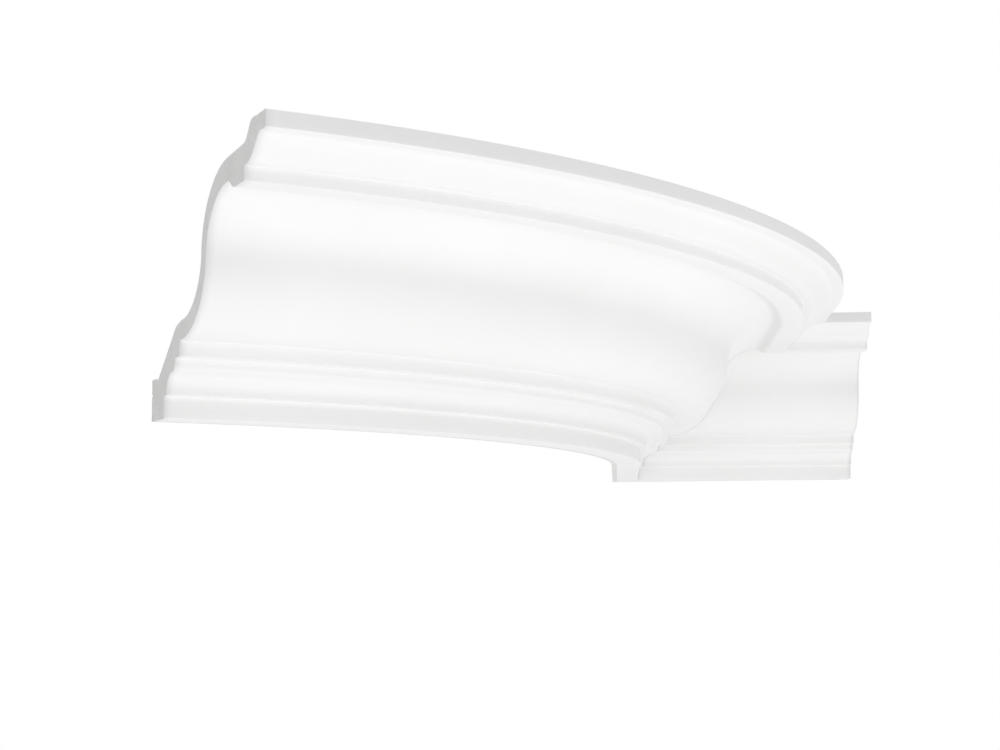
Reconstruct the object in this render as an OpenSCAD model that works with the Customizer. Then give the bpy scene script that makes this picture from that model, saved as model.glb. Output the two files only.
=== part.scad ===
// Cornice moulding for the corner between a wall and a ceiling.
// A length that follows a round wall runs out straight into an inside corner, where it meets a
// short straight return at a mitre. Both lengths have one hollow-backed profile. Its points are
// [distance out from the wall, height], with the ceiling at height 0 and all of it below.
// The row's origin is on the ceiling contact face where the round wall's curve ends.

/* [Plan] */
// Radius of the round wall
wall_r = 553; // [460:1:640]
// Angle that the moulding turns through on the round wall
bend_deg = 58.7; // [30:0.1:80]
// Straight run along the wall from the end of the curve to the corner
runout_len = 278; // [240:1:500]
// Length of the straight return along its wall
return_len = 233; // [200:1:500]

/* [Whole profile] */
// Height on the wall
height = 140; // [116:1:170]
// Width on the ceiling
projection = 191; // [160:1:229]

/* [Foot on the wall] */
// Width of the bottom face
base_depth = 24; // [20:0.5:30]
// Height of the bottom fascia
base_fascia_h = 13; // [10:0.5:16]
// Height of the strip that is glued to the wall
wall_strip_h = 24.4; // [20:0.1:28]
// Width of the shelf on top of the glued strip
shelf_w = 8; // [5:0.5:10]
// Width of the notch between the shelf and the shell
notch_w = 3; // [2:0.5:4]
// Depth of that notch
notch_d = 1.6; // [1:0.1:2.5]

/* [Lower ogee and fascia] */
// Ledge between the bottom fascia and the lower ogee
ledge_w = 4.7; // [3:0.1:7]
// Upright below the lower ogee
upright_h = 2; // [1:0.5:4]
// Width of the lower ogee
low_ogee_w = 15; // [12:0.5:18]
// Height of the lower ogee
low_ogee_h = 14; // [13.5:0.5:17]
// Radius of the lower ogee's hollow
low_hollow_r = 10; // [6:0.5:10.5]
// Radius of the lower ogee's round
low_round_r = 3.5; // [2:0.5:4]
// Upright between the lower ogee and the underside of the lower fascia
low_neck_h = 3.5; // [2:0.5:5]
// How far the lower fascia stands out past its ogee
low_fascia_step = 8.8; // [6:0.1:11]
// Height of the lower fascia
low_fascia_h = 9; // [7:0.5:11]

/* [Main cyma] */
// Flat toe between the lower fascia and the cyma
toe_w = 3.5; // [2:0.5:5]
// Radius of the cyma's lower, rounded half
cyma_round_r = 42; // [35:1:50]
// Radius of the cyma's upper, hollow half
cyma_hollow_r = 35; // [29:1:42]

/* [Drip] */
// Width of the slope from the crest of the cyma down to the drip
lip_run = 11.5; // [9.5:0.5:14]
// Drop of the drip below the crest
lip_drop = 5; // [3.5:0.1:6]
// Radius of the slope's two bends
lip_r = 8; // [6:0.5:10]
// Width of the flat underside of the drip
drip_w = 15; // [11:0.5:17]
// Height of the drip fascia
drip_fascia_h = 8; // [6:0.5:9.5]

/* [Upper ogee and top fascia] */
// Ledge between the drip fascia and the upper ogee
top_ledge_w = 3; // [1:0.5:4]
// Width of the upper ogee
top_ogee_w = 21.5; // [18:0.5:26]
// Height of the upper ogee
top_ogee_h = 12.7; // [11:0.1:15]
// Radius of the upper ogee's round
top_round_r = 12.5; // [10:0.5:14]
// Radius of the upper ogee's hollow
top_hollow_r = 6.5; // [5:0.5:8]
// Flat underside between the upper ogee and the top fascia
top_flat_w = 7; // [4:0.5:9]
// Height of the top fascia
top_fascia_h = 9.2; // [8:0.1:12]
// Width of the strip that is glued to the ceiling
ceiling_strip_w = 20; // [16:0.5:24]

/* [Shell] */
// Thickness at the toe of the cyma
toe_t = 11; // [9:0.5:13]
// Thickness halfway up the cyma
waist_t = 8; // [6.5:0.5:10]
// Thickness at the crest of the cyma
crest_t = 13; // [11:0.5:15]
// How far the knee on the back lies behind the toe
knee_back = 10; // [8:0.5:14]
// How far the knee lies below the back of the toe
knee_drop = 2; // [1:0.5:3]
// Radius of the knee
knee_r = 12; // [8:1:14]
// Height of the heel, where the back rises to the ceiling
heel_h = 10.4; // [9:0.1:11.5]
// Width of the heel
heel_w = 15; // [13:0.5:17]
// Radius of the bend at the foot of the heel
heel_hollow_r = 10; // [8:0.5:11]
// Radius of the bend at the top of the heel
heel_round_r = 4; // [3:0.5:5]

/* [Glue grooves] */
// Width of each groove
groove_w = 2.4; // [1.6:0.2:3]
// Depth of each groove
groove_d = 1.4; // [0.8:0.1:2]
// Distance of the ceiling groove behind the top fascia
ceiling_groove_in = 12; // [9:0.5:13]
// Height of the wall groove above the bottom
wall_groove_up = 15; // [12:0.5:17]

/* [Hidden] */
// Straight pieces that stand for each bend of an ogee
bend_steps = 6;
// Straight pieces that stand for each half of the main cyma
cyma_steps = 12;
// Straight pieces that stand for the knee on the back
knee_steps = 5;
// Circle that the round stretch is part of, as a number of straight pieces
circle_steps = 360;
// How far the mitre's cutting block stands above and below the moulding
cut_margin = 40;
// Half the angle of the corner
mitre_deg = 45;

// Front of the profile, worked out from the wall side
ledge_x = base_depth + ledge_w;
low_ogee_x = ledge_x + low_ogee_w;
low_fascia_x = low_ogee_x + low_fascia_step;
toe_x = low_fascia_x + toe_w;
base_top_z = base_fascia_h - height;
low_ogee_z = base_top_z + upright_h;
low_fascia_z = low_ogee_z + low_ogee_h + low_neck_h;
toe_z = low_fascia_z + low_fascia_h;

// Front of the profile, worked out from the ceiling side
top_ogee_z = -top_fascia_h - top_ogee_h;
drip_z = top_ogee_z - drip_fascia_h;
crest_z = drip_z + lip_drop;
top_ogee_end_x = projection - top_flat_w;
top_ogee_x = top_ogee_end_x - top_ogee_w;
drip_x = top_ogee_x - top_ledge_w;
lip_end_x = drip_x - drip_w;
crest_x = lip_end_x - lip_run;

// Back of the profile
shelf_z = wall_strip_h - height;
knee = [toe_x - knee_back, toe_z + toe_t - knee_drop];
heel_top_x = projection - ceiling_strip_w;
ceiling_groove_x = projection - ceiling_groove_in;
wall_groove_z = wall_groove_up - height;

// The origin lies on the ceiling face, midway between its groove and the top fascia
datum_out = (ceiling_groove_x + groove_w / 2 + projection) / 2;

// Turn of an S curve w wide and h high whose ends lie level and whose bends have radii r0 and r1
function s_turn(w, h, r0, r1) =
    90 + atan2(h - r0 - r1, w) - acos(min(1, (r0 + r1) / norm([w, h - r0 - r1])));

// Largest share of the two radii that an S curve of this width and height has room for
function s_share(w, h, r0, r1) = min(1, (w * w + h * h) / (2 * h * (r0 + r1)));

// S curve from [0, 0] to [w, h], level at both ends: a list of [across, up, slope in degrees]
function s_curve(w, h, r0, r1, n) =
    let (k = s_share(w, h, r0, r1), a = r0 * k, b = r1 * k, t = s_turn(w, h, a, b))
    concat(
        [for (i = [0:n]) let (s = t * i / n) [a * sin(s), a * (1 - cos(s)), s]],
        [for (i = [n:-1:0]) let (s = t * i / n) [w - b * sin(s), h - b * (1 - cos(s)), s]]);

// Thickness of the shell along the main cyma, for bend i of n on its lower or upper half
function lower_t(i, n) = toe_t - (toe_t - waist_t) * pow(i / n, 2);
function upper_t(i, n) = crest_t - (crest_t - waist_t) * i / n;

// Arc of radius r that rounds the corner b between the points a and c
function rounded(a, b, c, r, n) =
    let (
        u = (a - b) / norm(a - b),
        v = (c - b) / norm(c - b),
        half = acos(u * v) / 2,
        centre = b + (u + v) / norm(u + v) * r / sin(half),
        start = b + u * r / tan(half) - centre,
        end = b + v * r / tan(half) - centre)
    [for (i = [0:n])
        let (spoke = start * (1 - i / n) + end * i / n)
            centre + r * spoke / norm(spoke)];

cyma = s_curve(crest_x - toe_x, crest_z - toe_z, cyma_round_r, cyma_hollow_r, cyma_steps);

// Front, from the bottom face up to the ceiling
front = concat(
    [[base_depth, -height], [base_depth, base_top_z], [ledge_x, base_top_z]],
    [for (p = s_curve(low_ogee_h, low_ogee_w, low_hollow_r, low_round_r, bend_steps))
        [ledge_x + p[1], low_ogee_z + p[0]]],
    [[low_ogee_x, low_fascia_z], [low_fascia_x, low_fascia_z], [low_fascia_x, toe_z]],
    [for (p = cyma) [toe_x + p[0], toe_z + p[1]]],
    [for (p = s_curve(lip_run, lip_drop, lip_r, lip_r, bend_steps))
        if (p[0] > 0) [crest_x + p[0], crest_z - p[1]]],
    [[drip_x, drip_z], [drip_x, top_ogee_z]],
    [for (p = s_curve(top_ogee_w, top_ogee_h, top_round_r, top_hollow_r, bend_steps))
        [top_ogee_x + p[0], top_ogee_z + p[1]]],
    [[projection, -top_fascia_h], [projection, 0]]);

// Points of the main cyma moved back square to its surface by the shell's thickness
function shell_back(i) =
    let (
        n = cyma_steps,
        p = cyma[i],
        t = i <= n ? lower_t(i, n) : upper_t(2 * n + 1 - i, n))
    [toe_x + p[0] - t * sin(p[2]), toe_z + p[1] + t * cos(p[2])];

// Back, from the ceiling down to the wall
back = concat(
    [for (p = s_curve(heel_w, heel_h, heel_round_r, heel_hollow_r, bend_steps))
        [heel_top_x - p[0], -p[1]]],
    [for (i = [2 * cyma_steps + 1:-1:0]) shell_back(i)],
    rounded(shell_back(0), knee, [shelf_w + notch_w, shelf_z - notch_d], knee_r, knee_steps),
    [[shelf_w + notch_w, shelf_z - notch_d], [shelf_w, shelf_z], [0, shelf_z]]);

// Grooves that hold the glue, one in each contact face
ceiling_groove = [
    [ceiling_groove_x + groove_w / 2, 0],
    [ceiling_groove_x, -groove_d],
    [ceiling_groove_x - groove_w / 2, 0]];
wall_groove = [
    [0, wall_groove_z + groove_w / 2],
    [groove_d, wall_groove_z],
    [0, wall_groove_z - groove_w / 2]];

module profile() {
    polygon(concat(front, ceiling_groove, back, wall_groove, [[0, -height]]));
}

// A straight length that starts at the corner of its wall and runs along +X, with its wall at
// Y = 0 and its face towards -Y
module straight_run(length) {
    rotate([90, 0, 90]) linear_extrude(length) mirror([1, 0]) profile();
}

// Everything on one side of the mitre plane: side 1 is the return's, side -1 the run-out's
module mitre_side(side) {
    reach = runout_len + return_len + projection;
    translate([-datum_out, runout_len, -height - cut_margin])
        rotate([0, 0, mitre_deg])
            translate([side > 0 ? 0 : -reach, -reach, 0])
                cube([reach, 2 * reach, height + 2 * cut_margin]);
}

module curved_length() {
    color("white") union() {
        translate([-wall_r - datum_out, 0, 0])
            mirror([0, 1, 0])
                rotate_extrude(angle = bend_deg, $fn = circle_steps)
                    translate([wall_r, 0]) profile();
        difference() {
            translate([-datum_out, runout_len, 0])
                rotate([0, 0, -90]) mirror([0, 1, 0]) straight_run(runout_len);
            mitre_side(1);
        }
    }
}

module straight_return() {
    color("white")
        difference() {
            translate([-datum_out, runout_len, 0]) straight_run(return_len);
            mitre_side(-1);
        }
}

curved_length();
straight_return();
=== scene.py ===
"""Looks of the hollow-backed cornice moulding: a curved length, its run-out and a mitred return."""
import math

import bpy
import numpy as np
from mathutils import Matrix, Vector
from mathutils.geometry import delaunay_2d_cdt


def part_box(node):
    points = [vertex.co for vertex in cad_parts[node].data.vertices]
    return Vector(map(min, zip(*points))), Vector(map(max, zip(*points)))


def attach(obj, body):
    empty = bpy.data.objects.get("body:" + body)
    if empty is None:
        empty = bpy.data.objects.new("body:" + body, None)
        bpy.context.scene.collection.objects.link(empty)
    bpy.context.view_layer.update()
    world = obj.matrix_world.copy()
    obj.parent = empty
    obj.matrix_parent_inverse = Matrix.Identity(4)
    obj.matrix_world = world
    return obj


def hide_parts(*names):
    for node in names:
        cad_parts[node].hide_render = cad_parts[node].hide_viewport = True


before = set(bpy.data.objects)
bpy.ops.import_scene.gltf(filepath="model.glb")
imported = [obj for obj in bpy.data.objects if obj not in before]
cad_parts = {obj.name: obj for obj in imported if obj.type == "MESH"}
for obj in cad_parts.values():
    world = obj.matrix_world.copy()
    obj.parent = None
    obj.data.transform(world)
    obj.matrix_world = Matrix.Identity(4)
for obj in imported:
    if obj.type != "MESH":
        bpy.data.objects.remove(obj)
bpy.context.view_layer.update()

MM = 0.001

# ---------------------------------------------------------------- plan, in metres
RETURN_LOW, RETURN_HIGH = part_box("straight_return")
HEIGHT = RETURN_HIGH.z - RETURN_LOW.z
PROJECTION = RETURN_HIGH.y - RETURN_LOW.y
SIDE_WALL_X = RETURN_LOW.x          # wall beside the run-out
BACK_WALL_Y = RETURN_HIGH.y         # wall behind the return, and so the run-out's length
RETURN_LEN = RETURN_HIGH.x - RETURN_LOW.x
WALL_R = 0.553                      # radius of the round wall
BEND = math.radians(58.7)           # angle that the curve turns through
CURVE_CENTRE = Vector((SIDE_WALL_X - WALL_R, 0, 0))

# ---------------------------------------------------------------- profile, in millimetres
TALL = HEIGHT / MM
DEEP = PROJECTION / MM
BASE_DEPTH, BASE_FASCIA_H = 24, 13
WALL_STRIP_H, SHELF_W, NOTCH_W, NOTCH_D = 24.4, 8, 3, 1.6
LEDGE_W, UPRIGHT_H = 4.7, 2
LOW_OGEE_W, LOW_OGEE_H, LOW_HOLLOW_R, LOW_ROUND_R = 15, 14, 10, 3.5
LOW_NECK_H, LOW_FASCIA_STEP, LOW_FASCIA_H = 3.5, 8.8, 9
TOE_W, CYMA_ROUND_R, CYMA_HOLLOW_R = 3.5, 42, 35
LIP_RUN, LIP_DROP, LIP_R = 11.5, 5, 8
DRIP_W, DRIP_FASCIA_H = 15, 8
TOP_LEDGE_W, TOP_OGEE_W, TOP_OGEE_H, TOP_ROUND_R, TOP_HOLLOW_R = 3, 21.5, 12.7, 12.5, 6.5
TOP_FLAT_W, TOP_FASCIA_H, CEILING_STRIP_W = 7, 9.2, 20
TOE_T, WAIST_T, CREST_T = 11, 8, 13
KNEE_BACK, KNEE_DROP, KNEE_R = 10, 2, 12
HEEL_H, HEEL_W, HEEL_HOLLOW_R, HEEL_ROUND_R = 10.4, 15, 10, 4
GROOVE_W, GROOVE_D, CEILING_GROOVE_IN, WALL_GROOVE_UP = 2.4, 1.4, 12, 15

# ---------------------------------------------------------------- finish, in millimetres
CYMA_STEPS, OGEE_STEPS, KNEE_STEPS = 26, 12, 6
ARRIS_R = 0.45                      # rounding of each outer edge
QUIRK_R = 0.3                       # filling of each inner edge
ARRIS_STEPS = 3
SHARPEST_BEND = math.radians(14)    # a sharper turn than this in the outline is an edge
LONGEST_SIDE = 4.0                  # flat stretches are divided to this
STATION_GAP = 6.0                   # distance between two rings along a length
CUT_GRAIN = 1.3                     # spacing of the points on a sawn end
CUT_ROUGHNESS = 0.11                # depth of the saw's roughness
CUT_SCATTER = 0.3                   # how far a sawn end's point strays, as a share of the spacing
CUT_MARGIN = 0.7                    # its least distance from the outline, as a share of the spacing
SAME_POINT = 0.02                   # points of the outline closer than this are one
SIDE_SHARE = 0.45                   # most that an edge's rounding takes of the side next to it


def s_curve(w, h, r0, r1, steps):
    """S curve from (0, 0) to (w, h), level at both ends: rows of across, up and slope in radians."""
    share = min(1, (w * w + h * h) / (2 * h * (r0 + r1)))
    a, b = r0 * share, r1 * share
    rise = h - a - b
    turn = math.pi / 2 + math.atan2(rise, w) - math.acos((a + b) / math.hypot(w, rise))
    slopes = [turn * i / steps for i in range(steps + 1)]
    lower = [(a * math.sin(s), a * (1 - math.cos(s)), s) for s in slopes]
    upper = [(w - b * math.sin(s), h - b * (1 - math.cos(s)), s) for s in reversed(slopes)]
    return lower + upper


def rounded(a, b, c, r, steps):
    """Arc of radius r that rounds the corner b between the points a and c."""
    a, b, c = Vector(a), Vector(b), Vector(c)
    u, v = (a - b).normalized(), (c - b).normalized()
    half = u.angle(v) / 2
    centre = b + (u + v).normalized() * r / math.sin(half)
    start, end = b + u * r / math.tan(half) - centre, b + v * r / math.tan(half) - centre
    return [tuple(centre + start.lerp(end, i / steps).normalized() * r) for i in range(steps + 1)]


def front_line():
    """Room side of the profile in millimetres, from the bottom face up to the ceiling."""
    ledge_x = BASE_DEPTH + LEDGE_W
    neck_x = ledge_x + LOW_OGEE_W
    fascia_x = neck_x + LOW_FASCIA_STEP
    base_top = BASE_FASCIA_H - TALL
    ogee_z = base_top + UPRIGHT_H
    fascia_z = ogee_z + LOW_OGEE_H + LOW_NECK_H
    toe = (fascia_x + TOE_W, fascia_z + LOW_FASCIA_H)
    top_ogee = (DEEP - TOP_FLAT_W - TOP_OGEE_W, -TOP_FASCIA_H - TOP_OGEE_H)
    drip = (top_ogee[0] - TOP_LEDGE_W, top_ogee[1] - DRIP_FASCIA_H)
    crest = (drip[0] - DRIP_W - LIP_RUN, drip[1] + LIP_DROP)
    cyma = s_curve(crest[0] - toe[0], crest[1] - toe[1], CYMA_ROUND_R, CYMA_HOLLOW_R, CYMA_STEPS)
    line = [(BASE_DEPTH, -TALL), (BASE_DEPTH, base_top), (ledge_x, base_top)]
    for up, across, _ in s_curve(LOW_OGEE_H, LOW_OGEE_W, LOW_HOLLOW_R, LOW_ROUND_R, OGEE_STEPS):
        line.append((ledge_x + across, ogee_z + up))
    line += [(neck_x, fascia_z), (fascia_x, fascia_z), (fascia_x, toe[1])]
    line += [(toe[0] + across, toe[1] + up) for across, up, _ in cyma]
    for across, down, _ in s_curve(LIP_RUN, LIP_DROP, LIP_R, LIP_R, OGEE_STEPS)[1:]:
        line.append((crest[0] + across, crest[1] - down))
    line += [drip, (drip[0], top_ogee[1])]
    for across, up, _ in s_curve(TOP_OGEE_W, TOP_OGEE_H, TOP_ROUND_R, TOP_HOLLOW_R, OGEE_STEPS):
        line.append((top_ogee[0] + across, top_ogee[1] + up))
    line += [(DEEP, -TOP_FASCIA_H), (DEEP, 0)]
    return line, toe, cyma


def back_line(toe, cyma):
    """Hollow side of the profile in millimetres, from the ceiling down to the wall."""
    shell = []
    for i, (across, up, slope) in enumerate(cyma):
        if i <= CYMA_STEPS:
            t = TOE_T - (TOE_T - WAIST_T) * (i / CYMA_STEPS) ** 2
        else:
            t = CREST_T - (CREST_T - WAIST_T) * (2 * CYMA_STEPS + 1 - i) / CYMA_STEPS
        shell.append((toe[0] + across - t * math.sin(slope), toe[1] + up + t * math.cos(slope)))
    shelf_z = WALL_STRIP_H - TALL
    notch = (SHELF_W + NOTCH_W, shelf_z - NOTCH_D)
    knee = (toe[0] - KNEE_BACK, toe[1] + TOE_T - KNEE_DROP)
    groove_x = DEEP - CEILING_GROOVE_IN
    groove_z = WALL_GROOVE_UP - TALL
    line = [(groove_x + GROOVE_W / 2, 0), (groove_x, -GROOVE_D), (groove_x - GROOVE_W / 2, 0)]
    for across, down, _ in s_curve(HEEL_W, HEEL_H, HEEL_ROUND_R, HEEL_HOLLOW_R, OGEE_STEPS):
        line.append((DEEP - CEILING_STRIP_W - across, -down))
    line += shell[::-1]
    line += rounded(shell[0], knee, notch, KNEE_R, KNEE_STEPS)
    line += [notch, (SHELF_W, shelf_z), (0, shelf_z)]
    line += [(0, groove_z + GROOVE_W / 2), (GROOVE_D, groove_z), (0, groove_z - GROOVE_W / 2)]
    return line + [(0, -TALL)]


def turn_at(a, b, c):
    """Signed turn of the line a, b, c at b; a left turn, which is an outer edge, is positive."""
    before, after = b - a, c - b
    return math.atan2(before.x * after.y - before.y * after.x, before.dot(after))


def soften(line):
    """Round the line's edges and divide its long sides. Each point keeps its finish, room or hidden."""
    out = []
    count = len(line)
    for i, (x, z, finish) in enumerate(line):
        a, b, c = (Vector(line[j % count][:2]) for j in (i - 1, i, i + 1))
        turn = turn_at(a, b, c)
        if abs(turn) > SHARPEST_BEND:
            r = ARRIS_R if turn > 0 else QUIRK_R
            reach = r * math.tan(abs(turn) / 2)
            room = SIDE_SHARE * min((a - b).length, (c - b).length)
            r *= min(1, room / reach)
            out += [(*p, finish) for p in rounded(a, b, c, r, ARRIS_STEPS)]
        else:
            out.append((x, z, finish))
        last = Vector(out[-1][:2])
        gap = (c - last).length
        parts = math.ceil(gap / LONGEST_SIDE)
        far = line[(i + 1) % count][2]
        side = "room" if "room" in (finish, far) else "hidden"
        for k in range(1, parts):
            out.append((*last.lerp(c, k / parts), side))
    return out


def outline():
    """The whole profile as rows of distance out from the wall, height and finish, in metres."""
    front, toe, cyma = front_line()
    line = [(x, z, "room") for x, z in front]
    line += [(x, z, "hidden") for x, z in back_line(toe, cyma)]
    clean = []
    for x, z, finish in line:
        if not clean or math.dist(clean[-1][:2], (x, z)) > SAME_POINT:
            clean.append((x, z, finish))
    return [(x * MM, z * MM, finish) for x, z, finish in soften(clean)]


# ---------------------------------------------------------------- the two lengths' lines in plan
def curved_stations():
    """Rings of the curved length: a point at the foot of the wall, and the way out from the wall.
    On the run-out the way out leans step by step towards the mitre, so the last ring lies in it."""
    stations = []
    middle_r = WALL_R + PROJECTION / 2
    arc_steps = math.ceil(middle_r * BEND / (STATION_GAP * MM))
    for i in range(arc_steps):
        a = -BEND * (1 - i / arc_steps)
        out = Vector((math.cos(a), math.sin(a), 0))
        stations.append((CURVE_CENTRE + out * WALL_R, out))
    run_steps = math.ceil(BACK_WALL_Y / (STATION_GAP * MM))
    for i in range(run_steps + 1):
        t = i / run_steps
        stations.append((Vector((SIDE_WALL_X, t * BACK_WALL_Y, 0)), Vector((1, -t, 0))))
    return stations


def return_stations():
    """Rings of the straight return, from the mitre to its square end."""
    steps = math.ceil(RETURN_LEN / (STATION_GAP * MM))
    stations = []
    for i in range(steps + 1):
        t = i / steps
        foot = Vector((SIDE_WALL_X + t * RETURN_LEN, BACK_WALL_Y, 0))
        stations.append((foot, Vector((1 - t, -1, 0))))
    return stations


# ---------------------------------------------------------------- meshes
FINISHES = {"room": 0, "hidden": 1, "cut": 2}
INSIDE_ONLY = 1                     # the triangulation keeps only what lies inside the outline
NEARNESS = 1e-7                     # and joins points that are closer than this, in metres


def cut_face(section, grain, rng):
    """Triangles over the section, between its outline and loose points of the sawn face inside it."""
    flat = [Vector((x, z)) for x, z, _ in section]
    count = len(flat)
    xs, zs = [p.x for p in flat], [p.y for p in flat]
    inner = []
    edges = np.array([(p.x, p.y) for p in flat])
    for x in np.arange(min(xs), max(xs), grain):
        for z in np.arange(min(zs), max(zs), grain):
            p = np.array((x, z)) + rng.uniform(-CUT_SCATTER, CUT_SCATTER, 2) * grain
            if np.min(np.hypot(*(edges - p).T)) > CUT_MARGIN * grain:
                inner.append(Vector(p))
    ring = [(i, (i + 1) % count) for i in range(count)]
    verts, _, faces, origin, _, _ = delaunay_2d_cdt(flat + inner, ring, [], INSIDE_ONLY, NEARNESS)
    return verts, faces, origin, count


def sweep(name, section, stations, cut_first, cut_last, seed):
    """A closed mesh of the section carried along the stations, with sawn ends where asked."""
    rng = np.random.default_rng(seed)
    verts, faces, finishes = [], [], []
    count = len(section)
    for foot, out in stations:
        for x, z, _ in section:
            verts.append(foot + out * x + Vector((0, 0, z)))
    for ring in range(len(stations) - 1):
        for i in range(count):
            j = (i + 1) % count
            a, b = ring * count + i, ring * count + j
            faces.append((a, a + count, b + count, b))
            both = {section[i][2], section[j][2]}
            finishes.append(FINISHES["room" if both == {"room"} else "hidden"])
    cap_verts, cap_faces, origin, edge_count = cut_face(section, CUT_GRAIN * MM, rng)
    used = sorted({k for face in cap_faces for k in face})
    for ring, sawn in ((0, cut_first), (len(stations) - 1, cut_last)):
        foot, out = stations[ring]
        inward = stations[1][0] - foot if ring == 0 else stations[-2][0] - foot
        inward = (inward - out * inward.dot(out) / out.length_squared).normalized()
        index = {}
        for k in used:
            p = cap_verts[k]
            first = origin[k][0] if origin[k] else edge_count
            if first < edge_count:
                index[k] = ring * count + first
                continue
            depth = rng.uniform(0, CUT_ROUGHNESS) * MM if sawn else 0
            index[k] = len(verts)
            verts.append(foot + out * p.x + Vector((0, 0, p.y)) + inward * depth)
        for face in cap_faces:
            loop = [index[k] for k in face]
            faces.append(loop if ring == 0 else loop[::-1])
            finishes.append(FINISHES["cut"])
    mesh = bpy.data.meshes.new(name)
    mesh.from_pydata(verts, [], faces)
    mesh.polygons.foreach_set("material_index", finishes)
    mesh.validate()
    mesh.update()
    return mesh


def make_piece(name, node, section, stations, cut_first, cut_last, seed):
    """One length of moulding as an object that stands for its CAD node."""
    mesh = sweep(name, section, stations, cut_first, cut_last, seed)
    piece = bpy.data.objects.new(name, mesh)
    bpy.context.scene.collection.objects.link(piece)
    for finish in ("primer", "foam_skin", "foam_cut"):
        mesh.materials.append(MATERIALS[finish])
    mesh.shade_smooth()
    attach(piece, "root")
    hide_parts(node)


# ---------------------------------------------------------------- materials
class Nodes:
    """Short names for building one material's node tree."""

    def __init__(self, name):
        self.material = bpy.data.materials.new(name)
        self.material.use_nodes = True
        self.tree = self.material.node_tree
        self.shader = self.tree.nodes["Principled BSDF"]
        self.place = self.add("ShaderNodeTexCoord").outputs["Object"]

    def add(self, kind, inputs=None, **settings):
        node = self.tree.nodes.new(kind)
        for key, value in settings.items():
            setattr(node, key, value)
        for key, value in (inputs or {}).items():
            if isinstance(value, bpy.types.NodeSocket):
                self.link(value, node.inputs[key])
            else:
                node.inputs[key].default_value = value
        return node

    def link(self, output, socket):
        self.tree.links.new(output, socket)

    def noise(self, scale, detail=3.0, roughness=0.5):
        inputs = {"Vector": self.place, "Scale": scale, "Detail": detail, "Roughness": roughness}
        return self.add("ShaderNodeTexNoise", inputs).outputs["Fac"]

    def cells(self, scale):
        inputs = {"Vector": self.place, "Scale": scale}
        return self.add("ShaderNodeTexVoronoi", inputs, feature="F1").outputs["Distance"]

    def ramp(self, value, stops):
        node = self.add("ShaderNodeValToRGB", {"Fac": value})
        points = node.color_ramp.elements
        for i, (at, grey) in enumerate(stops):
            point = points[i] if i < 2 else points.new(at)
            point.position = at
            point.color = (*grey, 1) if isinstance(grey, tuple) else (grey, grey, grey, 1)
        return node.outputs["Color"]

    def span(self, value, low, high):
        """value's 0 to 1 carried onto low to high."""
        inputs = {"Value": value, "To Min": low, "To Max": high}
        return self.add("ShaderNodeMapRange", inputs).outputs["Result"]

    def math(self, operation, a, b):
        return self.add("ShaderNodeMath", {0: a, 1: b}, operation=operation).outputs["Value"]

    def mix(self, factor, a, b):
        node = self.add("ShaderNodeMix", data_type="RGBA")
        for socket, value in ((node.inputs["Factor"], factor), (node.inputs[6], a), (node.inputs[7], b)):
            if isinstance(value, bpy.types.NodeSocket):
                self.link(value, socket)
            else:
                socket.default_value = value
        return node.outputs[2]

    def bump(self, height, distance, below=None):
        inputs = {"Height": height, "Distance": distance, "Strength": 1.0}
        if below:
            inputs["Normal"] = below
        return self.add("ShaderNodeBump", inputs).outputs["Normal"]


def primer():
    """Factory primer: dull white, sprayed, with a fine orange peel and specks of dust under it."""
    n = Nodes("white_primer")
    coat = n.ramp(n.noise(9, 4, 0.55), [(0.3, (0.85, 0.85, 0.845)), (0.7, (0.88, 0.88, 0.878))])
    speck = n.math("MULTIPLY", n.noise(420, 2, 0.6), 0.5)
    n.link(n.mix(speck, coat, (0.87, 0.87, 0.868, 1)), n.shader.inputs["Base Color"])
    n.link(n.span(n.noise(60, 3), 0.52, 0.66), n.shader.inputs["Roughness"])
    peel = n.bump(n.noise(520, 2, 0.5), 0.00003)
    n.link(n.bump(n.noise(45, 2, 0.5), 0.00008, below=peel), n.shader.inputs["Normal"])
    n.shader.inputs["Specular IOR Level"].default_value = 0.35
    return n.material


def foam_skin():
    """Moulded skin on the hidden side: unprimed, slightly darker, with small blown pits, pressed in by a
    bump and painted darker as shade in them.
    """
    n = Nodes("foam_skin")
    # Mask of the pits: it presses them in through the bump and also paints shade into them
    pit_depth_and_shade = n.ramp(n.cells(260), [(0.12, 0.0), (0.3, 1.0)])
    cloud = n.noise(14, 5, 0.6)
    skin = n.ramp(cloud, [(0.3, (0.72, 0.72, 0.70)), (0.7, (0.79, 0.79, 0.775))])
    # Painted shade: the pits are coloured a darker grey (0.62) than the skin around them
    n.link(n.mix(pit_depth_and_shade, (0.62, 0.62, 0.60, 1), skin), n.shader.inputs["Base Color"])
    n.link(n.span(cloud, 0.6, 0.8), n.shader.inputs["Roughness"])
    fine = n.bump(pit_depth_and_shade, 0.00012)
    n.link(n.bump(n.noise(70, 3, 0.5), 0.0003, below=fine), n.shader.inputs["Normal"])
    return n.material


def foam_cut():
    """Sawn end: pale grey rigid foam, with its fine open cells and the saw's marks; the cells' hollows
    are painted darker as shade in them.
    """
    n = Nodes("foam_cut")
    cells = n.cells(1100)
    cloud = n.noise(60, 4, 0.6)
    core = n.ramp(cloud, [(0.3, (0.69, 0.69, 0.685)), (0.7, (0.75, 0.75, 0.745))])
    # Painted shade: the centres of the open cells are coloured a darker grey (0.62), as shade in their
    # hollows
    cell_hollow_shade = n.ramp(cells, [(0.1, 0.0), (0.45, 1.0)])
    n.link(n.mix(cell_hollow_shade, (0.62, 0.62, 0.615, 1), core), n.shader.inputs["Base Color"])
    n.link(n.span(cloud, 0.8, 0.92), n.shader.inputs["Roughness"])
    n.link(n.bump(cells, 0.0001), n.shader.inputs["Normal"])
    n.shader.inputs["Specular IOR Level"].default_value = 0.2
    return n.material


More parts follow.
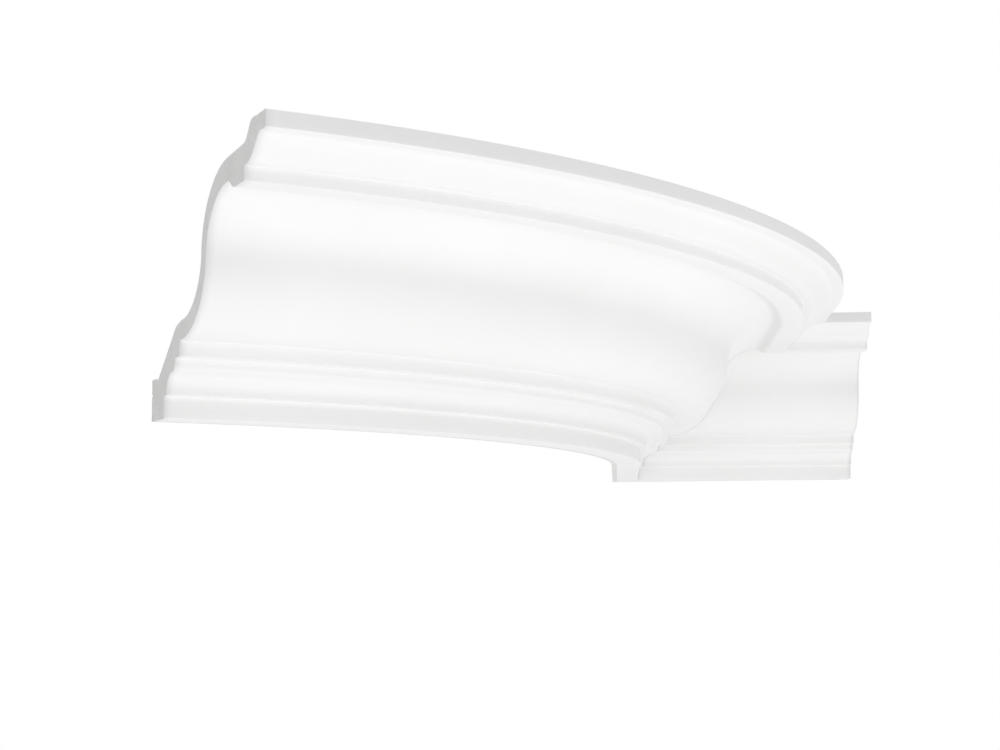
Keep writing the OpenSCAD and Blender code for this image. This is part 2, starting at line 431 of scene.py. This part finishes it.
MATERIALS = {"primer": primer(), "foam_skin": foam_skin(), "foam_cut": foam_cut()}


# ---------------------------------------------------------------- camera
CAMERA_AT = Vector((-0.1829, -1.4566, -0.2276))
YAW, PITCH, ROLL = -0.0662, 0.1131, -0.0075
FOCAL = 62.1
SENSOR = 36


def make_camera():
    """A long lens a little below the moulding, looking slightly up."""
    ahead = Vector((math.sin(YAW) * math.cos(PITCH), math.cos(YAW) * math.cos(PITCH), math.sin(PITCH)))
    level = Vector((math.cos(YAW), -math.sin(YAW), 0))
    upright = level.cross(ahead)
    right = level * math.cos(ROLL) + upright * math.sin(ROLL)
    up = upright * math.cos(ROLL) - level * math.sin(ROLL)
    data = bpy.data.cameras.new("camera")
    data.lens = FOCAL
    data.sensor_width = SENSOR
    data.clip_end = 50
    camera = bpy.data.objects.new("camera", data)
    turned = Matrix((right, up, -ahead)).transposed().to_4x4()
    camera.matrix_world = Matrix.Translation(CAMERA_AT) @ turned
    bpy.context.scene.collection.objects.link(camera)
    bpy.context.scene.camera = camera


# ---------------------------------------------------------------- light and floor
FLOOR_Z = -3
FLOOR_SIZE = 18
AMBIENT = 0.4
LIT_POINT = Vector((-0.2, -0.15, -0.07))    # middle of the moulding, where every lamp points


def area_lamp(name, at, size, watts):
    """A square soft lamp that the camera doesn't see."""
    data = bpy.data.lights.new(name, "AREA")
    data.size = size
    data.energy = watts
    lamp = bpy.data.objects.new(name, data)
    lamp.location = at
    lamp.rotation_euler = (LIT_POINT - Vector(at)).to_track_quat("-Z", "Y").to_euler()
    lamp.visible_camera = False
    bpy.context.scene.collection.objects.link(lamp)


def overhead_lamp(strength):
    """Even light from straight above: it lights the floor, which lights the moulding's undersides."""
    data = bpy.data.lights.new("overhead", "SUN")
    data.energy = strength
    data.angle = math.radians(25)
    bpy.context.scene.collection.objects.link(bpy.data.objects.new("overhead", data))


def make_world(ambient):
    """White wherever the camera or a reflection looks, plain grey light for everything else."""
    world = bpy.data.worlds.new("studio")
    bpy.context.scene.world = world
    world.use_nodes = True
    tree = world.node_tree
    path = tree.nodes.new("ShaderNodeLightPath")
    seen = path.outputs["Is Camera Ray"]
    for ray in ("Is Transmission Ray", "Is Glossy Ray"):
        either = tree.nodes.new("ShaderNodeMath")
        either.operation = "MAXIMUM"
        tree.links.new(seen, either.inputs[0])
        tree.links.new(path.outputs[ray], either.inputs[1])
        seen = either.outputs[0]
    strength = tree.nodes.new("ShaderNodeMapRange")
    strength.inputs["To Min"].default_value = ambient
    strength.inputs["To Max"].default_value = 1.0
    tree.links.new(seen, strength.inputs["Value"])
    background = tree.nodes["Background"]
    background.inputs["Color"].default_value = (1, 1, 1, 1)
    tree.links.new(strength.outputs["Result"], background.inputs["Strength"])


def make_floor():
    """A plain pale floor well below the moulding."""
    mesh = bpy.data.meshes.new("floor")
    half = FLOOR_SIZE / 2
    corners = [(x, y, FLOOR_Z) for x, y in ((-half, -half), (half, -half), (half, half), (-half, half))]
    mesh.from_pydata(corners, [], [(0, 1, 2, 3)])
    floor = bpy.data.objects.new("floor", mesh)
    bpy.context.scene.collection.objects.link(floor)
    n = Nodes("floor")
    n.link(n.ramp(n.noise(2), [(0.3, 0.80), (0.7, 0.82)]), n.shader.inputs["Base Color"])
    n.shader.inputs["Roughness"].default_value = 0.9
    mesh.materials.append(n.material)


make_camera()
section = outline()
make_piece("curved_moulding", "curved_length", section, curved_stations(), True, False, 11)
make_piece("return_moulding", "straight_return", section, return_stations(), False, True, 12)

make_floor()
make_world(AMBIENT)
overhead_lamp(1.9)
area_lamp("left", (-1.136, -1.77, -0.4), 1.2, 6.9)
area_lamp("front", (0.74, -1.777, -0.754), 1.4, 1.5)
area_lamp("right", (0.935, -0.805, -0.988), 1.0, 8.0)

bpy.context.scene.view_settings.view_transform = "Standard"
